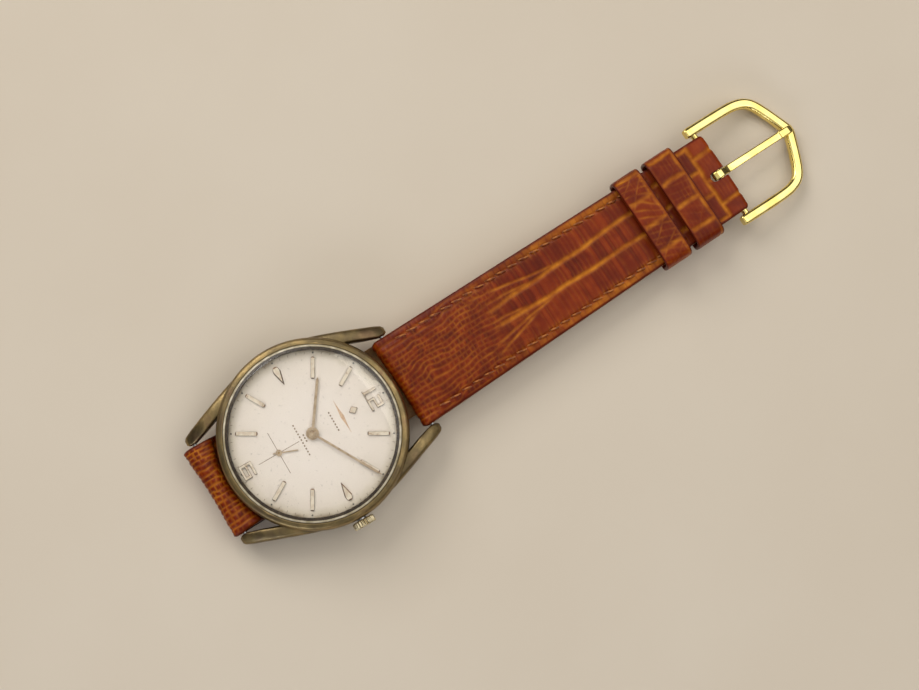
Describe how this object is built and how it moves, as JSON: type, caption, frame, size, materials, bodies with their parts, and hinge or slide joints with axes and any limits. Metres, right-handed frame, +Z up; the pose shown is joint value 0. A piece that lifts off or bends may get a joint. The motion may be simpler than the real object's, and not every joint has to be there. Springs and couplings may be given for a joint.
{
  "type": "wristwatch",
  "caption": "Round hand-wound wristwatch with small seconds, domed crystal and straight lugs, on a leather strap with keepers and pin buckle, long half folded under.",
  "frame": {"origin": "on the hands' axis, in the plane that the folded strap half rests on", "axes": "+Y from the hands' axis to 12 o'clock and along the strap to the buckle, +X to 3 o'clock and the crown, +Z up out of the dial"},
  "size_m": [0.037, 0.1295, 0.0116],
  "materials": {
    "worn_plate": "gold plating worn to brown brass, dull polish",
    "gold": "bright gold plate, polished",
    "gilt": "aged gilt, polished facets",
    "nickel": "nickel plate, fine grained",
    "wheel_brass": "circular grained",
    "steel": "polished steel",
    "blued_steel": "heat blued",
    "dial": "silvered and lacquered, aged",
    "acrylic": "clear polished acrylic",
    "rubber": "matte",
    "leather": "embossed and glazed, honey brown"
  },
  "bodies": {
    "head": {"mid_case": "worn_plate", "bezel": "worn_plate", "crystal": "acrylic", "case_back": "steel", "case_back_gasket": "rubber", "crown_tube": "steel", "spring_bar_12": "steel", "spring_bar_6": "steel", "movement_ring": "nickel", "mainplate": "nickel", "barrel_bridge": "nickel", "train_bridge": "nickel", "balance_cock": "nickel", "mainspring": "steel", "hairspring": "blued_steel", "dial": "dial", "index_01": "gilt", "index_02": "gilt", "index_03": "gilt", "index_04": "gilt", "index_05": "gilt", "index_07": "gilt", "index_08": "gilt", "index_09": "gilt", "index_10": "gilt", "index_11": "gilt", "numeral_12": "gilt", "numeral_6": "gilt", "dial_lozenge": "gilt"},
    "minute_works": {"centre_wheel": "wheel_brass", "cannon_pinion": "steel", "minute_hand": "gilt"},
    "hour_works": {"hour_wheel": "wheel_brass", "hour_hand": "gilt"},
    "minute_wheel_body": {"minute_wheel": "wheel_brass"},
    "third_works": {"third_wheel": "wheel_brass"},
    "seconds_works": {"fourth_wheel": "wheel_brass", "seconds_hand": "gilt"},
    "escape_works": {"escape_wheel": "steel"},
    "pallet_works": {"pallet_fork": "steel"},
    "balance_works": {"balance_wheel": "gilt"},
    "barrel_works": {"mainspring_barrel": "wheel_brass", "barrel_cover": "wheel_brass"},
    "ratchet_works": {"ratchet_wheel": "steel", "barrel_arbor": "steel"},
    "crown_wheel_body": {"crown_wheel": "steel"},
    "click_body": {"click": "steel"},
    "winding_pinion_body": {"winding_pinion": "steel"},
    "crown_slide": {"crown_gasket": "rubber"},
    "crown_works": {"crown": "gilt", "winding_stem": "steel"},
    "strap_12": {"strap_buckle_side": "leather", "fixed_keeper": "leather"},
    "loose_keeper": {"sliding_keeper": "leather"},
    "buckle": {"buckle_frame": "gold", "buckle_bar": "gold"},
    "tongue": {"buckle_tongue": "gold"},
    "strap_6": {"strap_tail_side": "leather"}
  },
  "joints": [
    {"name": "minute_turn", "type": "hinge", "parent": "head", "child": "minute_works", "pos_m": [0, 0, 0.008], "axis": [0, 0, -1], "continuous": true},
    {"name": "hour_turn", "type": "hinge", "parent": "head", "child": "hour_works", "pos_m": [0, 0, 0.008], "axis": [0, 0, -1], "continuous": true},
    {"name": "minute_wheel_turn", "type": "hinge", "parent": "head", "child": "minute_wheel_body", "pos_m": [0.0025, 0, 0.008], "axis": [0, 0, -1], "continuous": true},
    {"name": "third_turn", "type": "hinge", "parent": "head", "child": "third_works", "pos_m": [-0.00297, -0.00396, 0.006], "axis": [0, 0, -1], "continuous": true},
    {"name": "seconds_turn", "type": "hinge", "parent": "head", "child": "seconds_works", "pos_m": [0, -0.007, 0.006], "axis": [0, 0, -1], "continuous": true},
    {"name": "escape_turn", "type": "hinge", "parent": "head", "child": "escape_works", "pos_m": [0.00331, -0.00918, 0.006], "axis": [0, 0, -1], "continuous": true},
    {"name": "pallet_swing", "type": "hinge", "parent": "head", "child": "pallet_works", "pos_m": [0.00506, -0.00733, 0.0064], "axis": [0, 0, -1], "range_deg": [-6, 6]},
    {"name": "balance_swing", "type": "hinge", "parent": "head", "child": "balance_works", "pos_m": [0.0069, -0.0054, 0.006], "axis": [0, 0, -1], "range_deg": [-270, 270], "stiffness_Nm_per_rad": 0.00000007},
    {"name": "barrel_turn", "type": "hinge", "parent": "head", "child": "barrel_works", "pos_m": [0.00304, 0.00527, 0.006], "axis": [0, 0, -1], "continuous": true},
    {"name": "ratchet_turn", "type": "hinge", "parent": "head", "child": "ratchet_works", "pos_m": [0.00304, 0.00527, 0.005], "axis": [0, 0, -1], "continuous": true},
    {"name": "crown_wheel_turn", "type": "hinge", "parent": "head", "child": "crown_wheel_body", "pos_m": [0.0071, 0, 0.0045], "axis": [0, 0, -1], "continuous": true},
    {"name": "click_swing", "type": "hinge", "parent": "head", "child": "click_body", "pos_m": [-0.00255, 0.00587, 0.0045], "axis": [0, 0, -1], "range_deg": [0, 12]},
    {"name": "winding_pinion_turn", "type": "hinge", "parent": "head", "child": "winding_pinion_body", "pos_m": [0.0097, 0, 0.0062], "axis": [1, 0, 0], "continuous": true},
    {"name": "crown_pull", "type": "slide", "parent": "head", "child": "crown_slide", "axis": [1, 0, 0], "range_m": [0, 0.0012]},
    {"name": "crown_turn", "type": "hinge", "parent": "crown_slide", "child": "crown_works", "pos_m": [0.0189, 0, 0.0062], "axis": [1, 0, 0], "continuous": true},
    {"name": "strap_12_swing", "type": "hinge", "parent": "head", "child": "strap_12", "pos_m": [0, 0.0198, 0.0048], "axis": [1, 0, 0], "range_deg": [0, 70]},
    {"name": "strap_6_swing", "type": "hinge", "parent": "head", "child": "strap_6", "pos_m": [0, -0.0198, 0.0048], "axis": [1, 0, 0], "range_deg": [-185, 0]},
    {"name": "keeper_slide", "type": "slide", "parent": "strap_12", "child": "loose_keeper", "axis": [-0.0576, 0.9983, 0], "range_m": [-0.025, 0.0012]},
    {"name": "buckle_swing", "type": "hinge", "parent": "strap_12", "child": "buckle", "pos_m": [-0.00405, 0.08998, 0.0048], "axis": [0.9983, 0.0576, 0], "range_deg": [-60, 60]},
    {"name": "tongue_swing", "type": "hinge", "parent": "buckle", "child": "tongue", "pos_m": [-0.00405, 0.08998, 0.0048], "axis": [0.9983, 0.0576, 0], "range_deg": [0, 80]}
  ],
  "couplings": [
    {"joint": "hour_turn", "follows": "seconds_turn", "ratio": 0.0013889},
    {"joint": "minute_turn", "follows": "seconds_turn", "ratio": 0.016667},
    {"joint": "minute_wheel_turn", "follows": "seconds_turn", "ratio": -0.0055556},
    {"joint": "third_turn", "follows": "seconds_turn", "ratio": -0.13333},
    {"joint": "escape_turn", "follows": "seconds_turn", "ratio": -10},
    {"joint": "barrel_turn", "follows": "seconds_turn", "ratio": -0.0027778},
    {"joint": "winding_pinion_turn", "follows": "crown_turn", "ratio": 1},
    {"joint": "crown_wheel_turn", "follows": "crown_turn", "ratio": -0.63636},
    {"joint": "ratchet_turn", "follows": "crown_turn", "ratio": 0.35}
  ]
}
